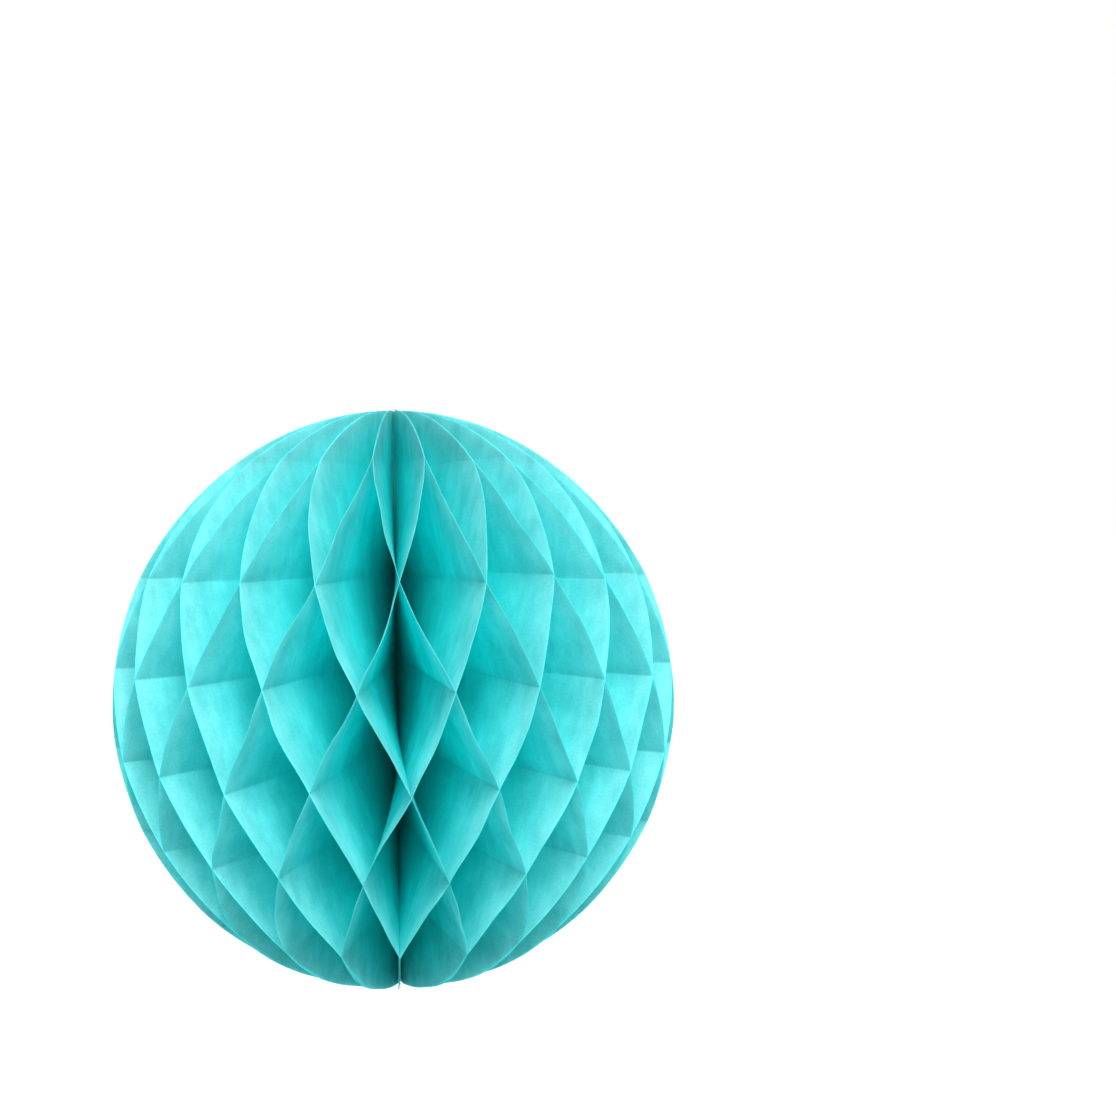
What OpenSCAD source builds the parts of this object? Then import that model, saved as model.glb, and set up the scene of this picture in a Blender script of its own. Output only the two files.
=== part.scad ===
// Paper honeycomb ball. Half-round tissue leaves are glued to their neighbours at
// alternating heights and bound along a spine between two half-round cover boards.
// The fan is opened a full turn, so that the boards meet back to back.
// Millimetres. +Z runs up the spine, the origin is the middle of the ball, and the
// boards meet on the +Y side.

/* [Ball] */
// Radius of the open ball at its widest
ball_r = 100; // [80:1:150]
// How far each pole stands beyond a plain sphere
pole_rise = 3; // [0:0.5:6]
// Number of tissue leaves in the fan
leaf_count = 46; // [36:2:50]

/* [Tissue leaves] */
// Thickness of a leaf
tissue_t = 0.08; // [0.05:0.01:0.1]
// Height of a glued band
band_h = 3; // [1.5:0.5:4]
// Distance from the spine's axis to the inner edge of a leaf
leaf_inner_r = 1; // [1:0.1:2]
// Radius at which a leaf's tip is cut off at each pole
leaf_tip_r = 4; // [3:0.5:8]
// Share of the fold between two bands that is an S curve and not straight
fold_softness = 0.35; // [0:0.05:1]

/* [Glue lines] */
// Height of the first glue line
glue_z1 = 83; // [78:1:86]
// Height of the second glue line
glue_z2 = 45; // [40:1:50]
// Height of the third glue line
glue_z3 = 15; // [10:1:20]
// Height of the fourth glue line
glue_z4 = -14; // [-19:1:-9]
// Height of the fifth glue line
glue_z5 = -41; // [-46:1:-36]
// Height of the sixth glue line
glue_z6 = -73.5; // [-78:0.5:-69]

/* [Cover boards] */
// Thickness of a cover board
board_t = 0.4; // [0.3:0.1:0.5]
// How far a board's round edge lies inside the leaves' edge
board_inset = 0.5; // [0:0.5:3]
// Distance from the spine's axis to a board's straight edge
board_inner_r = 9; // [9:0.5:11]
// Radius of the hanging hole
hang_hole_r = 1.5; // [1:0.1:2.5]
// Distance from the spine's axis to the hanging hole
hang_hole_y = 14; // [14:0.5:20]
// Height of the hanging hole
hang_hole_z = 90; // [70:1:92]

/* [Adhesive dots] */
// Radius of a double-sided adhesive dot
dot_r = 6; // [4:0.5:8]
// Thickness of an adhesive dot
dot_t = 0.1; // [0.1:0.05:0.2]
// Distance from the spine's axis to the middle dot
middle_dot_y = 86; // [60:1:86]
// Distance from the spine's axis to the upper and lower dots
outer_dot_y = 60; // [30:1:62]
// Height of the upper dot, and depth of the lower one
outer_dot_z = 62; // [40:1:62]

/* [Binding thread] */
// Radius of the thread
thread_r = 0.5; // [0.3:0.05:0.6]
// Radius of the knot at each end
knot_r = 1.3; // [1:0.1:2]
// Gap between a knot and the leaves, and round the thread inside a knot
knot_clearance = 0.1; // [0.05:0.05:0.3]

/* [Hidden] */
tissue_colour = [0.24, 0.76, 0.73];
card_colour = [0.19, 0.6, 0.57];
thread_colour = [0.93, 0.93, 0.9];
adhesive_colour = [0.8, 0.88, 0.9];

pole_z = ball_r + pole_rise;
// the seam plane is the YZ plane, and each board's glued face lies this far from it
seam_half = board_t + dot_t / 2;
seam_angle = 90;
// rows of points in a leaf's fold between two glue bands, and beyond the last band
fold_rows = 3;
end_rows = 5;
board_edge_points = 60;

GLUE_LINES = [glue_z1, glue_z2, glue_z3, glue_z4, glue_z5, glue_z6];
FIXED_NODES = [
    "board_a", "board_b", "binding_thread", "top_knot", "bottom_knot",
    "adhesive_dot_top", "adhesive_dot_middle", "adhesive_dot_bottom"
];

function leaf_name(i) = str("leaf_", i < 10 ? "0" : "", i);
function lerp(a, b, share) = a + (b - a) * share;
function ease(u) = lerp(u, u * u * (3 - 2 * u), fold_softness);

// The round edge: its distance from the spine at height z
function rim_reach(z) = ball_r + pole_rise * pow(z / pole_z, 4);
function rim_r(z) = sqrt(max(0, pow(rim_reach(z), 2) - z * z));
tip_z = sqrt(pole_z * pole_z - leaf_tip_r * leaf_tip_r);

// Station s is the plane in which leaf s and leaf s + 1 are glued together. The boards
// take the stations 0 and leaf_count. Near the spine the boards' thickness takes a
// larger share of the turn, so the angle depends on the distance r.
function station_angle(s, r) =
    let (seam = asin(seam_half / r))
    seam_angle + seam + s / leaf_count * (360 - 2 * seam);
function station_end(s, r) =
    r * [cos(station_angle(s, r)), sin(station_angle(s, r))];
function station_point(s, r) =
    lerp(station_end(s, leaf_inner_r), station_end(s, ball_r),
        (r - leaf_inner_r) / (ball_r - leaf_inner_r));
function station_normal(s) =
    let (way = station_end(s, ball_r) - station_end(s, leaf_inner_r))
    [-way.y, way.x] / norm(way);

// Leaf i reaches from station i - 1 (side 0) to station i (side 1). It is glued to one
// or the other at each line in turn. The first board, at station 0, has the first, third
// and fifth lines.
function glue_side(i, line) = (i + line + 1) % 2;

// Rows down a leaf as [height, side]. The free tips hang midway between the stations.
function glue_stops(i) = [
    for (line = [0:len(GLUE_LINES) - 1])
        if (abs(GLUE_LINES[line]) < tip_z - 2 * band_h)
            for (way = [1, -1])
                [GLUE_LINES[line] + way * band_h / 2, glue_side(i, line)]
];
function leaf_stops(i) = concat([[tip_z, 0.5]], glue_stops(i), [[-tip_z, 0.5]]);
function rows_between(a, b, count) = [
    for (n = [1:count])
        let (turn = lerp(asin(a[0] / pole_z), asin(b[0] / pole_z), n / count))
        let (z = pole_z * sin(turn))
        [z, lerp(a[1], b[1], ease((z - a[0]) / (b[0] - a[0])))]
];
function leaf_rows(i) =
    let (stops = leaf_stops(i), last = len(stops) - 2)
    concat([stops[0]], [
        for (k = [0:last])
            each rows_between(stops[k], stops[k + 1],
                stops[k][1] == stops[k + 1][1] ? 1
                : k == 0 || k == last ? end_rows : fold_rows)
    ]);

// A leaf's lower face lies on the station before it, and its upper face on the next
function lower_face(i, side, r) =
    lerp(station_point(i - 1, r), station_point(i, r) - tissue_t * station_normal(i), side);
function upper_face(i, side, r) =
    lerp(station_point(i - 1, r) + tissue_t * station_normal(i - 1), station_point(i, r), side);
function at_height(p, z) = [p.x, p.y, z];
function leaf_points(i) = [
    for (row = leaf_rows(i))
        let (z = row[0], side = row[1], r = rim_r(z))
        each [
            at_height(lower_face(i, side, leaf_inner_r), z),
            at_height(lower_face(i, side, r), z),
            at_height(upper_face(i, side, r), z),
            at_height(upper_face(i, side, leaf_inner_r), z)
        ]
];
// Each face between two rows is twisted, so both sides of a leaf are cut along the same
// diagonal, from the upper row's inner point to the lower row's outer one
function ring_faces(rows) = [
    for (k = [0:rows - 2])
        for (n = [0:3])
            let (a = 4 * k + n, b = 4 * k + (n + 1) % 4)
            each n == 2
                ? [[a, b, a + 4], [b, b + 4, a + 4]]
                : [[a, b, b + 4], [a, b + 4, a + 4]]
];
function end_faces(rows) =
    let (e = 4 * (rows - 1))
    [[0, 2, 1], [0, 3, 2], [e, e + 1, e + 2], [e, e + 2, e + 3]];

module leaf(i) {
    rows = len(leaf_rows(i));
    color(tissue_colour)
        polyhedron(leaf_points(i), concat(ring_faces(rows), end_faces(rows)), convexity = 10);
}

// The half-round outline of a board, drawn with X away from the spine and Y up. Both ends
// of its straight edge are cut off square, just below the leaves' tips.
module board_outline() {
    edge_z = sqrt(pow(pole_z - board_inset, 2) - board_inner_r * board_inner_r);
    turn = asin(edge_z / pole_z);
    round_edge = [
        for (n = [0:board_edge_points])
            let (z = pole_z * sin(lerp(-turn, turn, n / board_edge_points)))
            [max(rim_r(z) - board_inset, board_inner_r), z]
    ];
    polygon(concat([[board_inner_r, -edge_z]], round_edge, [[board_inner_r, edge_z]]));
}

// Stands a flat shape up beside the seam plane, from X = from to X = from + thickness
module against_seam(from, thickness) {
    translate([from, 0, 0])
        rotate([90, 0, 90])
            linear_extrude(thickness)
                children();
}

// The first board has the hanging hole, for a loop that is tied round its straight edge
module board_a() {
    color(card_colour)
        against_seam(-seam_half, board_t)
            difference() {
                board_outline();
                translate([hang_hole_y, hang_hole_z])
                    circle(r = hang_hole_r, $fn = 48);
            }
}

module board_b() {
    color(card_colour)
        against_seam(dot_t / 2, board_t)
            board_outline();
}

module adhesive_dot(y, z) {
    color(adhesive_colour)
        against_seam(-dot_t / 2, dot_t)
            translate([y, z])
                circle(r = dot_r, $fn = 48);
}

module binding_thread() {
    length = 2 * (tip_z + 2 * (knot_clearance + knot_r));
    color(thread_colour)
        cylinder(r = thread_r, h = length, center = true, $fn = 32);
}

module knot(way) {
    middle = tip_z + knot_clearance + knot_r;
    color(thread_colour)
        translate([0, 0, way * middle])
            difference() {
                sphere(r = knot_r, $fn = 32);
                cylinder(r = thread_r + knot_clearance, h = 4 * knot_r, center = true, $fn = 32);
            }
}

board_a();
board_b();
binding_thread();
knot(1);  // top_knot
knot(-1);  // bottom_knot
adhesive_dot(outer_dot_y, outer_dot_z);  // adhesive_dot_top
adhesive_dot(middle_dot_y, 0);  // adhesive_dot_middle
adhesive_dot(outer_dot_y, -outer_dot_z);  // adhesive_dot_bottom
for (i = [1:leaf_count])
    leaf(i);
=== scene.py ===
"""A paper honeycomb ball: 46 tissue leaves, two cover boards, a binding thread and its knots.

The leaves are closed thin sheets, shaped by the same stations and glue lines as the CAD.
Everything is in metres, in the row frame.
"""

import math

import bpy
import numpy as np
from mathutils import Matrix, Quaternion, Vector


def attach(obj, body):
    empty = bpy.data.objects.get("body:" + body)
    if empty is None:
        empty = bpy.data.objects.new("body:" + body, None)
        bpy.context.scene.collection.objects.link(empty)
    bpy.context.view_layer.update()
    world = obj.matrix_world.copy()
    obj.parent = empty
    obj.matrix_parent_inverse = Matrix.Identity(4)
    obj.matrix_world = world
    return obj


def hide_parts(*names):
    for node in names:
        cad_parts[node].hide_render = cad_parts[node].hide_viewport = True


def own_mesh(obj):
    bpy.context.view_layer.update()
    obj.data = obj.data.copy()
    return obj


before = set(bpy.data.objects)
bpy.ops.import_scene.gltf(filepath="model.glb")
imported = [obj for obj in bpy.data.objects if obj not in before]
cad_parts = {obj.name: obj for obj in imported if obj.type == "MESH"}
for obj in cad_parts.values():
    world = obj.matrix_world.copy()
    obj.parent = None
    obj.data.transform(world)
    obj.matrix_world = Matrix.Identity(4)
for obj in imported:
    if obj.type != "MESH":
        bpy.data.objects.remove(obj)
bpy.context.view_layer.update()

# ---------------------------------------------------------------- sizes, as in the CAD
LEAVES = 46
BALL_R = 0.1
POLE_RISE = 0.003
POLE_Z = BALL_R + POLE_RISE
INNER_R = 0.001
TIP_R = 0.004
TIP_Z = math.sqrt(POLE_Z**2 - TIP_R**2)
SEAM_HALF = 0.00045
SEAM_ANGLE = math.pi / 2
GLUE_Z = [0.083, 0.045, 0.015, -0.014, -0.041, -0.0735]
TISSUE_T = 0.00008
FRONT = LEAVES // 2

# ---------------------------------------------------------------- sizes of the visual leaves alone
# their glued bands are lower than in the CAD and their folds are sharper
BAND_H = 0.0004
SOFTNESS = 0.1
SAG_DEPTH = 0.005
SAG_REACH = 0.034
SPOT_TURN = 0.16
SPOT_RISE = 0.0006
LOWEST_SPOT_RISE = 0.0023
SWELL = 0.0007
BAND_ROWS, FOLD_ROWS, END_ROWS = 2, 12, 20
COLUMNS = 22
LEAF_GAP = 0.00001
# how far in from the rim the painted light band reaches before the painted shade of the inner paper
# takes over
PAINTED_RIM_LIGHT_WIDTH = 0.045
CREASE_ANGLE = math.radians(14)

rng = np.random.default_rng(11)


def rim_r(z):
    """The round edge's distance from the spine at height z."""
    reach = BALL_R + POLE_RISE * (z / POLE_Z) ** 4
    return np.sqrt(np.maximum(reach**2 - z**2, 0))


def sag(z):
    """How far the free lower ends of the leaves hang below the round outline, near the spine."""
    return np.where(z < 0, SAG_DEPTH * np.clip(1 - rim_r(z) / SAG_REACH, 0, 1) ** 1.4, 0)


def station_xy(s, r):
    """A point on station s at distance r: the plane where leaf s and leaf s + 1 are glued."""

    def end(at):
        seam = math.asin(SEAM_HALF / at)
        turn = SEAM_ANGLE + seam + s / LEAVES * (2 * math.pi - 2 * seam)
        return at * np.array([math.cos(turn), math.sin(turn)])

    low, high = end(INNER_R), end(BALL_R)
    share = (r - INNER_R) / (BALL_R - INNER_R)
    return low + (high - low) * np.asarray(share)[..., None]


def bump_at(s, centre, width):
    return math.exp(-(((s - centre) / width) ** 2))


def spread(s):
    """How far a station stands from its even place, in degrees, as the fan never opens evenly.

    The bumps follow the photographed front, and the wave takes over further round.
    """
    s = s - FRONT
    uneven = (
        0.9 * bump_at(s, 1, 3.2)
        - 1.8 * bump_at(s, -8, 1.5)
        + 0.3 * bump_at(s, -5, 0.8)
        - 1.0 * bump_at(s, 5.5, 1.1)
    )
    return uneven + 0.5 * math.sin(1.7 * s + 0.6) * (1 - bump_at(s, 0, 10))


# node_turn and node_rise move each glued spot a little, for both leaves that meet there
node_turn = np.zeros((LEAVES + 1, 6))
node_rise = np.zeros((LEAVES + 1, 6))
for s in range(1, LEAVES):
    ease_off = min(1, s / 3, (LEAVES - s) / 3)
    for k in range(6):
        node_turn[s, k] = math.radians(
            ease_off * (spread(s) + SPOT_TURN * rng.standard_normal())
        )
        node_rise[s, k] = ease_off * SPOT_RISE * rng.standard_normal()
# the front pair's rim wanders to and fro between its three glued spots
for k, lean in ((1, -0.5), (3, 0.65), (5, -1.5)):
    node_turn[FRONT, k] += math.radians(lean)
# the free ends below the lowest glue line pull its spots up a little
node_rise[:, 5] += LOWEST_SPOT_RISE


def glue_side(i, line):
    return (i + line + 1) % 2


def ease(u):
    return u + (u * u * (3 - 2 * u) - u) * SOFTNESS


def leaf_rows(i):
    """Rows down leaf i: height, side, extra turn and bulge."""
    # beyond the first and the last glued spot, the pair of leaves stays almost together
    side, s = glue_side(i, 0), i - 1 + glue_side(i, 0)
    stops = [(TIP_Z, 0.5 + (side - 0.5) * rng.uniform(0.75, 0.95), node_turn[s, 0])]
    for k, z in enumerate(GLUE_Z):
        side = glue_side(i, k)
        s = i - 1 + side
        for way in (1, -1):
            stops.append((z + node_rise[s, k] + way * BAND_H / 2, side, node_turn[s, k]))
    stops.append((-TIP_Z, 0.5 + (side - 0.5) * rng.uniform(0.7, 0.95), node_turn[s, k]))
    rows = [(*stops[0], 0.0)]
    for n in range(len(stops) - 1):
        (za, sa, ta), (zb, sb, tb) = stops[n : n + 2]
        end = n in (0, len(stops) - 2)
        count = BAND_ROWS if sa == sb else END_ROWS if end else FOLD_ROWS
        swell = (0.0 if sa == sb else SWELL) * rng.standard_normal()
        for m in range(1, count + 1):
            turn = math.asin(za / POLE_Z)
            turn += (math.asin(zb / POLE_Z) - turn) * m / count
            z = POLE_Z * math.sin(turn)
            u = (z - za) / (zb - za)
            e = ease(u)
            rows.append(
                (z, sa + (sb - sa) * e, ta + (tb - ta) * e, swell * math.sin(math.pi * u) ** 2)
            )
    return np.array(rows)


# each column's share of the way from the spine to the rim, closer together at the rim
across = np.linspace(0, 1, COLUMNS + 1) ** 0.8


def crumple(r, z):
    """The paper's own shallow wrinkles: a few slanted waves, different on each leaf."""
    height = np.zeros_like(r)
    for length, depth in ((0.034, 0.00022), (0.021, 0.00016), (0.013, 0.0001), (0.008, 0.00006)):
        for _ in range(2):
            turn = rng.uniform(-1.1, 1.1)
            phase = rng.uniform(0, 2 * math.pi)
            along = r * math.cos(turn) + z[:, None] * math.sin(turn)
            bend = 0.6 * np.sin(2 * math.pi * (z[:, None] * 1.3 - r * 0.4) / (2.7 * length) + phase)
            height += depth * np.sin(2 * math.pi * along / length + phase + bend)
    return height


def leaf_mesh(i):
    """Leaf i's vertices and faces, and the paper's own coordinates: distance, height and rim."""
    rows = leaf_rows(i)
    z, side, turn, swell = rows.T
    rim = rim_r(z)
    n, m = len(rows), COLUMNS + 1
    r = INNER_R + (rim - INNER_R)[:, None] * across[None]
    a, b = station_xy(i - 1, r), station_xy(i, r)
    mid = a + (b - a) * side[:, None, None]
    # turn each row about the spine by its glued spot's own amount
    c, s = np.cos(turn)[:, None], np.sin(turn)[:, None]
    x = mid[..., 0] * c - mid[..., 1] * s
    y = mid[..., 0] * s + mid[..., 1] * c
    out = np.arctan2(y, x)
    normal = np.stack([-np.sin(out), np.cos(out)], axis=-1)
    share = r / BALL_R
    free = np.minimum(1, 3 * side * (1 - side))[:, None] * share
    lift = (TISSUE_T / 2 + LEAF_GAP) * (1 - 2 * side)[:, None] + swell[:, None] * share**2
    lift = lift + crumple(r, z) * free
    point = np.stack([x, y], axis=-1) + normal * lift[..., None]
    points = []
    for way in (-1, 1):
        face = point + normal * way * TISSUE_T / 2
        points.append(
            np.concatenate([face, np.broadcast_to((z - sag(z))[:, None, None], (n, m, 1))], axis=-1)
        )
    verts = np.concatenate([p.reshape(-1, 3) for p in points])
    half = n * m
    index = np.arange(half).reshape(n, m)
    corners = [index[:-1, :-1], index[:-1, 1:], index[1:, 1:], index[1:, :-1]]
    q = np.stack(corners, -1).reshape(-1, 4)
    loop = np.concatenate(
        [index[0, :], index[1:, -1], index[-1, -2::-1], index[-2:0:-1, 0]]
    )
    ring = np.stack([loop, np.roll(loop, -1)], -1)
    edge = np.stack([ring[:, 0], ring[:, 0] + half, ring[:, 1] + half, ring[:, 1]], -1)
    faces = np.concatenate([q, q[:, ::-1] + half, edge])
    return verts, faces, r, z, rim


def make_leaf(i):
    verts, faces, r, z, rim = leaf_mesh(i)
    name = f"tissue_leaf_{i:02d}"
    mesh = bpy.data.meshes.new(name)
    mesh.from_pydata(verts.tolist(), [], faces.tolist())
    mesh.update()
    # paper coordinates: across and down the sheet, each leaf at its own place on the roll
    flat = np.stack([r, np.broadcast_to(z[:, None], r.shape)], -1).reshape(-1, 2)
    flat = np.concatenate([flat, flat]) + rng.uniform(0, 3, 2)
    uv = mesh.uv_layers.new(name="sheet")
    loops = np.zeros(len(mesh.loops), np.int32)
    mesh.loops.foreach_get("vertex_index", loops)
    uv.data.foreach_set("uv", flat[loops].astype(np.float32).ravel())
    # the 'rim' attribute drives painted light and shade: 1 at the rim edge gives a painted pale lit
    # band, and 0 further in gives painted deeper shade
    rim_gap = (rim[:, None] - r).reshape(-1)
    painted_rim_light = np.clip(1 - np.concatenate([rim_gap, rim_gap]) / PAINTED_RIM_LIGHT_WIDTH, 0, 1)
    attribute = mesh.attributes.new("rim", "FLOAT", "POINT")
    attribute.data.foreach_set("value", painted_rim_light.astype(np.float32))
    mesh.shade_smooth()
    mesh.set_sharp_from_angle(angle=CREASE_ANGLE)
    obj = bpy.data.objects.new(name, mesh)
    bpy.context.scene.collection.objects.link(obj)
    return obj


# ---------------------------------------------------------------- materials
def new_material(name):
    material = bpy.data.materials.new(name)
    material.use_nodes = True
    tree = material.node_tree
    tree.nodes.clear()
    return material, tree


def add(tree, kind, **values):
    node = tree.nodes.new(kind)
    for key, value in values.items():
        if hasattr(node, key):
            setattr(node, key, value)
        else:
            node.inputs[key.replace("_", " ")].default_value = value
    return node


def mixed(tree, first, second, share):
    """A blend of two values, with that share of the second."""
    mix = add(tree, "ShaderNodeMix", data_type="FLOAT")
    mix.inputs[0].default_value = share
    tree.links.new(first, mix.inputs[2])
    tree.links.new(second, mix.inputs[3])
    return mix.outputs[0]


def colour_ramp(tree, first, last, *between):
    """A ramp of colours, where each stop is its place and its colour."""
    node = add(tree, "ShaderNodeValToRGB")
    stops = node.color_ramp.elements
    for stop, (place, shade) in zip(stops, (first, last)):
        stop.position = place
        stop.color = (*shade, 1)
    for place, shade in between:
        stops.new(place).color = (*shade, 1)
    return node


def tissue_material():
    """Clouded, streaked and grained paper that lets light through, with painted light that makes it
    paler near the rim and painted shade that makes it deeper and more saturated further in.
    """
    material, tree = new_material("tissue")
    link = tree.links.new
    uv = add(tree, "ShaderNodeUVMap", uv_map="sheet")
    cloud = add(tree, "ShaderNodeTexNoise", Scale=75.0, Detail=5.0, Roughness=0.62)
    link(uv.outputs[0], cloud.inputs["Vector"])
    slant = add(tree, "ShaderNodeMapping")
    slant.inputs["Rotation"].default_value = (0, 0, 0.6)
    slant.inputs["Scale"].default_value = (1.0, 0.3, 1.0)
    link(uv.outputs[0], slant.inputs["Vector"])
    streak = add(tree, "ShaderNodeTexNoise", Scale=260.0, Detail=3.0, Roughness=0.6)
    link(slant.outputs[0], streak.inputs["Vector"])
    grain = add(tree, "ShaderNodeTexNoise", Scale=1500.0, Detail=2.0, Roughness=0.6)
    link(uv.outputs[0], grain.inputs["Vector"])
    mottle = mixed(tree, cloud.outputs["Fac"], streak.outputs["Fac"], 0.35)
    fibres = mixed(tree, mottle, grain.outputs["Fac"], 0.25)
    ramp = colour_ramp(tree, (0.4, (0.12, 0.8, 0.81)), (0.6, (0.21, 0.94, 0.95)))
    link(fibres, ramp.inputs["Fac"])
    # painted light and shade: near the rim, more red and slightly less green-blue paint a pale lit
    # band; further in, little red paints the saturated shade between the leaves
    edge = add(tree, "ShaderNodeAttribute", attribute_name="rim")
    painted_rim_light_and_shade = colour_ramp(
        tree,
        (0.0, (0.2, 1.03, 1.02)),
        (1.0, (1.5, 0.99, 0.99)),
        (0.35, (0.4, 1.02, 1.01)),
        (0.8, (1.3, 0.94, 0.94)),
        (0.97, (1.8, 0.91, 0.91)),
    )
    link(edge.outputs["Fac"], painted_rim_light_and_shade.inputs["Fac"])
    tint = add(tree, "ShaderNodeMix", data_type="RGBA", blend_type="MULTIPLY")
    tint.inputs[0].default_value = 1.0
    link(ramp.outputs[0], tint.inputs[6])
    link(painted_rim_light_and_shade.outputs[0], tint.inputs[7])
    colour = tint.outputs[2]
    bump = add(tree, "ShaderNodeBump", Strength=0.4, Distance=0.0005)
    link(fibres, bump.inputs["Height"])
    front = add(tree, "ShaderNodeBsdfPrincipled", Roughness=0.62)
    front.inputs["Specular IOR Level"].default_value = 0.35
    link(colour, front.inputs["Base Color"])
    link(bump.outputs[0], front.inputs["Normal"])
    through = add(tree, "ShaderNodeBsdfTranslucent")
    link(colour, through.inputs["Color"])
    mix = add(tree, "ShaderNodeMixShader")
    mix.inputs[0].default_value = 0.63
    link(front.outputs[0], mix.inputs[1])
    link(through.outputs[0], mix.inputs[2])
    out = add(tree, "ShaderNodeOutputMaterial")
    link(mix.outputs[0], out.inputs["Surface"])
    return material


def grained_material(name, dark, light, scale, stretch, roughness):
    """A matt surface whose colour wanders between two shades."""
    material, tree = new_material(name)
    link = tree.links.new
    place = add(tree, "ShaderNodeTexCoord")
    mapping = add(tree, "ShaderNodeMapping")
    mapping.inputs["Scale"].default_value = stretch
    link(place.outputs["Object"], mapping.inputs["Vector"])
    noise = add(tree, "ShaderNodeTexNoise", Scale=scale, Detail=5.0, Roughness=0.6)
    link(mapping.outputs[0], noise.inputs["Vector"])
    ramp = colour_ramp(tree, (0.3, dark), (0.7, light))
    link(noise.outputs["Fac"], ramp.inputs["Fac"])
    bump = add(tree, "ShaderNodeBump", Strength=0.3, Distance=0.0002)
    link(noise.outputs["Fac"], bump.inputs["Height"])
    shader = add(tree, "ShaderNodeBsdfPrincipled", Roughness=roughness)
    link(ramp.outputs[0], shader.inputs["Base Color"])
    link(bump.outputs[0], shader.inputs["Normal"])
    out = add(tree, "ShaderNodeOutputMaterial")
    link(shader.outputs[0], out.inputs["Surface"])
    return material


tissue = tissue_material()
EVEN = (1, 1, 1)
card = grained_material(
    "cover_card", (0.025, 0.27, 0.24), (0.045, 0.38, 0.35), 700.0, (1, 1, 3), 0.7
)
yarn = grained_material("thread", (0.6, 0.6, 0.55), (0.85, 0.85, 0.8), 2500.0, EVEN, 0.8)
glue = grained_material("adhesive", (0.5, 0.6, 0.62), (0.66, 0.76, 0.78), 300.0, EVEN, 0.35)
floor_paint = grained_material("floor", (0.86,) * 3, (0.88,) * 3, 3.0, EVEN, 0.9)
floor_shader = floor_paint.node_tree.nodes["Principled BSDF"]
floor_shader.inputs["Emission Color"].default_value = (1, 1, 1, 1)
floor_shader.inputs["Emission Strength"].default_value = 0.22


def show_in(name, material):
    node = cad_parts[name]
    node.data.materials.clear()
    node.data.materials.append(material)


for i in range(1, LEAVES + 1):
    leaf = make_leaf(i)
    leaf.data.materials.append(tissue)
    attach(leaf, f"leaf_{i:02d}")
    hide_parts(f"leaf_{i:02d}")
    middle = station_xy(i - 0.5, BALL_R)
    middle = math.atan2(middle[1], middle[0])
    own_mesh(leaf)

for name in ("board_a", "board_b"):
    show_in(name, card)
for name in ("adhesive_dot_top", "adhesive_dot_middle", "adhesive_dot_bottom"):
    show_in(name, glue)
STRAND_R = 0.00024
KNOT_STRAND_R = 0.00034
THREAD_END = TIP_Z + 0.0013


def twisted_thread():
    """Three strands laid round each other along the spine."""
    turns, rings = 60, 420
    z = np.linspace(-THREAD_END, THREAD_END, rings)
    strands = []
    for k in range(3):
        angle = 2 * math.pi * (turns * np.linspace(0, 1, rings) + k / 3)
        offset = STRAND_R * 1.1
        strands.append(np.stack([offset * np.cos(angle), offset * np.sin(angle), z], -1))
    return strands


def wound_knot(way):
    """The loops of an overhand knot, pulled tight at one end of the thread."""
    t = np.linspace(0, 2 * math.pi, 121)[:-1]
    ring, tube = 0.00075, 0.00042
    r = ring + tube * np.cos(3 * t)
    middle = way * (TIP_Z + 0.0008)
    return [np.stack([r * np.cos(2 * t), r * np.sin(2 * t), middle - tube * np.sin(3 * t)], -1)]


def tube_mesh(name, paths, radius, closed):
    """Round tubes swept along paths of points."""
    sides = 8
    verts, faces = [], []
    for path in paths:
        first = len(verts)
        count = len(path)
        ahead = np.roll(path, -1, 0) - np.roll(path, 1, 0)
        if not closed:
            ahead[0], ahead[-1] = path[1] - path[0], path[-1] - path[-2]
        for at, along in zip(path, ahead):
            along = Vector(along).normalized()
            out = along.cross(Vector((0.3, 0.2, 1) if abs(along.z) < 0.9 else (1, 0, 0))).normalized()
            up = along.cross(out)
            for n in range(sides):
                turn = 2 * math.pi * n / sides
                verts.append(Vector(at) + radius * (out * math.cos(turn) + up * math.sin(turn)))
        for k in range(count if closed else count - 1):
            for n in range(sides):
                a, b = first + k * sides, first + (k + 1) % count * sides
                faces.append((a + n, a + (n + 1) % sides, b + (n + 1) % sides, b + n))
        if not closed:
            last = first + (count - 1) * sides
            faces.append(tuple(first + n for n in reversed(range(sides))))
            faces.append(tuple(last + n for n in range(sides)))
    mesh = bpy.data.meshes.new(name)
    mesh.from_pydata(verts, [], faces)
    mesh.update()
    mesh.shade_smooth()
    obj = bpy.data.objects.new(name, mesh)
    bpy.context.scene.collection.objects.link(obj)
    return obj


for name, node, paths, radius, closed in (
    ("twisted_thread", "binding_thread", twisted_thread(), STRAND_R, False),
    ("wound_knot_top", "top_knot", wound_knot(1), KNOT_STRAND_R, True),
    ("wound_knot_bottom", "bottom_knot", wound_knot(-1), KNOT_STRAND_R, True),
):
    piece = tube_mesh(name, paths, radius, closed)
    piece.data.materials.append(yarn)
    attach(piece, "spine_and_first_board")
    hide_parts(node)

# ---------------------------------------------------------------- stage, light and camera
plane = bpy.data.meshes.new("floor")
FLOOR_HALF = 40
FLOOR_Z = -0.3
corners = [(-1, -1), (1, -1), (1, 1), (-1, 1)]
plane.from_pydata(
    [(x * FLOOR_HALF, y * FLOOR_HALF, FLOOR_Z) for x, y in corners], [], [(0, 1, 2, 3)]
)
floor = bpy.data.objects.new("floor", plane)
floor.data.materials.append(floor_paint)
bpy.context.scene.collection.objects.link(floor)
# the floor is seen but doesn't light the ball
floor.visible_diffuse = False

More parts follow.
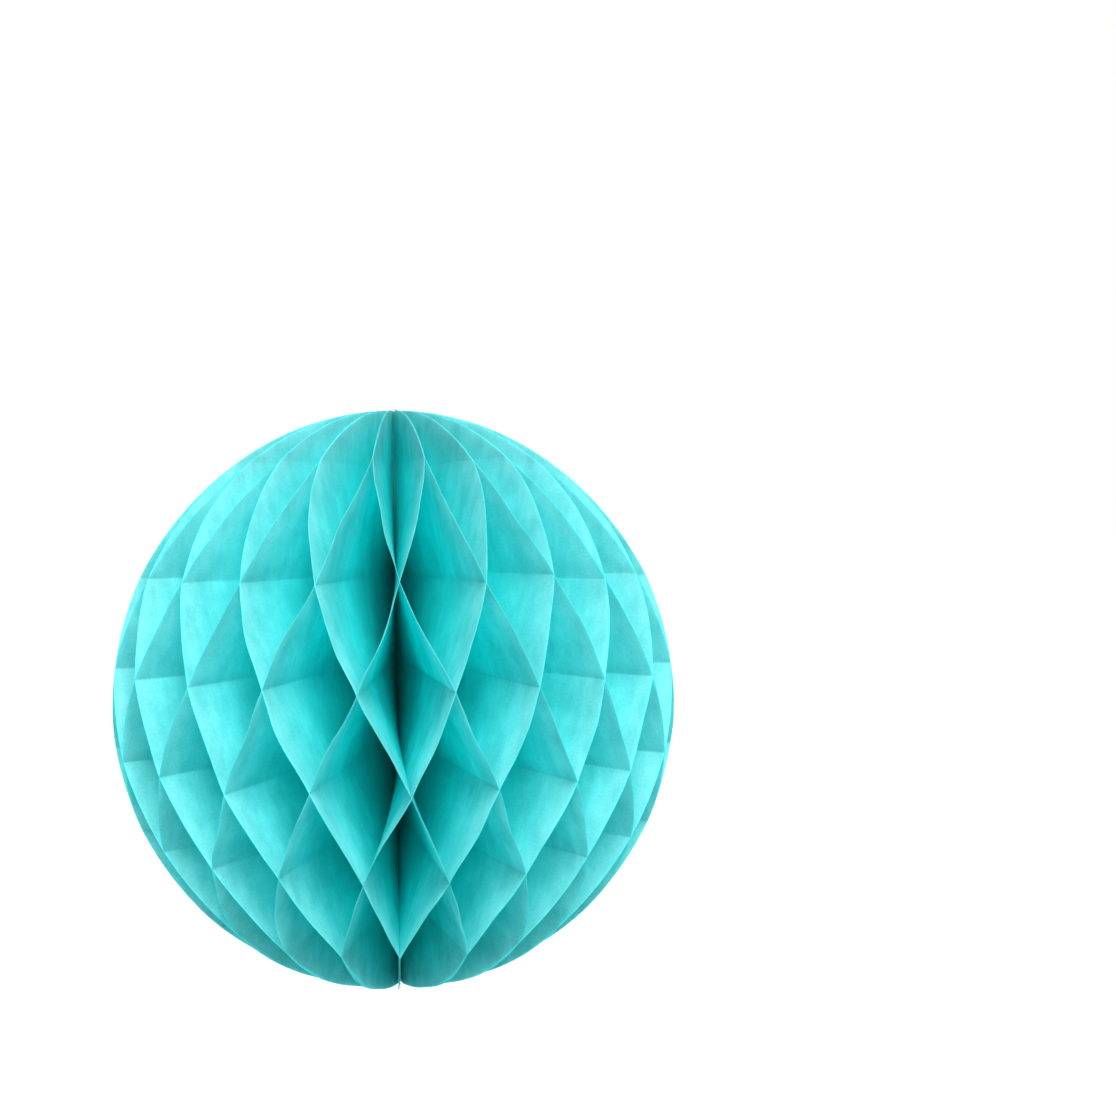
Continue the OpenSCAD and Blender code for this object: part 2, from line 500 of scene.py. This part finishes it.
# soft light that is brighter from above; the camera itself sees plain white behind the floor
world = bpy.data.worlds.new("studio")
world.use_nodes = True
sky = world.node_tree
sky.nodes.clear()
way = add(sky, "ShaderNodeTexCoord")
split = add(sky, "ShaderNodeSeparateXYZ")
sky.links.new(way.outputs["Generated"], split.inputs[0])
height = add(sky, "ShaderNodeMapRange")
height.inputs["From Min"].default_value = -1
sky.links.new(split.outputs["Z"], height.inputs["Value"])
glow = colour_ramp(sky, (0.0, (0.08,) * 3), (1.0, (1, 1, 1)), (0.5, (0.62,) * 3))
sky.links.new(height.outputs[0], glow.inputs["Fac"])
soft = add(sky, "ShaderNodeBackground", Strength=1.1)
sky.links.new(glow.outputs[0], soft.inputs["Color"])
backdrop = add(sky, "ShaderNodeBackground", Strength=1.0)
backdrop.inputs["Color"].default_value = (1, 1, 1, 1)
rays = add(sky, "ShaderNodeLightPath")
choose = add(sky, "ShaderNodeMixShader")
sky.links.new(rays.outputs["Is Camera Ray"], choose.inputs[0])
sky.links.new(soft.outputs[0], choose.inputs[1])
sky.links.new(backdrop.outputs[0], choose.inputs[2])
out = add(sky, "ShaderNodeOutputWorld")
sky.links.new(choose.outputs[0], out.inputs["Surface"])
bpy.context.scene.world = world


def area_light(name, place, size, power):
    """A round lamp that faces the ball."""
    data = bpy.data.lights.new(name, "AREA")
    data.shape = "DISK"
    data.size = size
    data.energy = power
    lamp = bpy.data.objects.new(name, data)
    lamp.location = place
    lamp.rotation_euler = (-Vector(place)).to_track_quat("-Z", "Y").to_euler()
    bpy.context.scene.collection.objects.link(lamp)


area_light("key", (0.1, -0.8, 1.0), 0.5, 12.5)
area_light("fill", (0.1, -1.0, 0.65), 0.8, 10)

# shares of the picture's width: the focal length, and how far left of and below the
# picture's middle the ball's middle stands
FOCAL = 0.972
BALL_LEFT = 0.1447
BALL_BELOW = 0.125
DISTANCE = 0.4
SENSOR = 36
camera_data = bpy.data.cameras.new("camera")
camera_data.sensor_width = SENSOR
camera_data.lens = FOCAL * SENSOR
camera_data.shift_x = 0.1
camera_data.shift_y = 0.05
camera_data.clip_start = 0.01
camera = bpy.data.objects.new("camera", camera_data)
bpy.context.scene.collection.objects.link(camera)
bpy.context.scene.camera = camera
azimuth, elevation, roll = math.radians(-0.7), math.radians(8.5), math.radians(-0.8)
back = Vector((
    math.sin(azimuth) * math.cos(elevation),
    -math.cos(azimuth) * math.cos(elevation),
    math.sin(elevation),
))
camera.location = DISTANCE * back
# the shift takes part of the ball's place in the picture, and turning the camera the rest
toward = Vector((camera_data.shift_x - BALL_LEFT, camera_data.shift_y - BALL_BELOW, -FOCAL))
aim = (-back).to_track_quat("-Z", "Y") @ Quaternion((0, 0, 1), roll)
camera.rotation_euler = (aim @ toward.rotation_difference(Vector((0, 0, -1)))).to_euler()

bpy.context.scene.view_settings.view_transform = "Standard"
bpy.context.scene.cycles.max_bounces = 24
bpy.context.scene.cycles.diffuse_bounces = 16
bpy.context.scene.cycles.transmission_bounces = 16
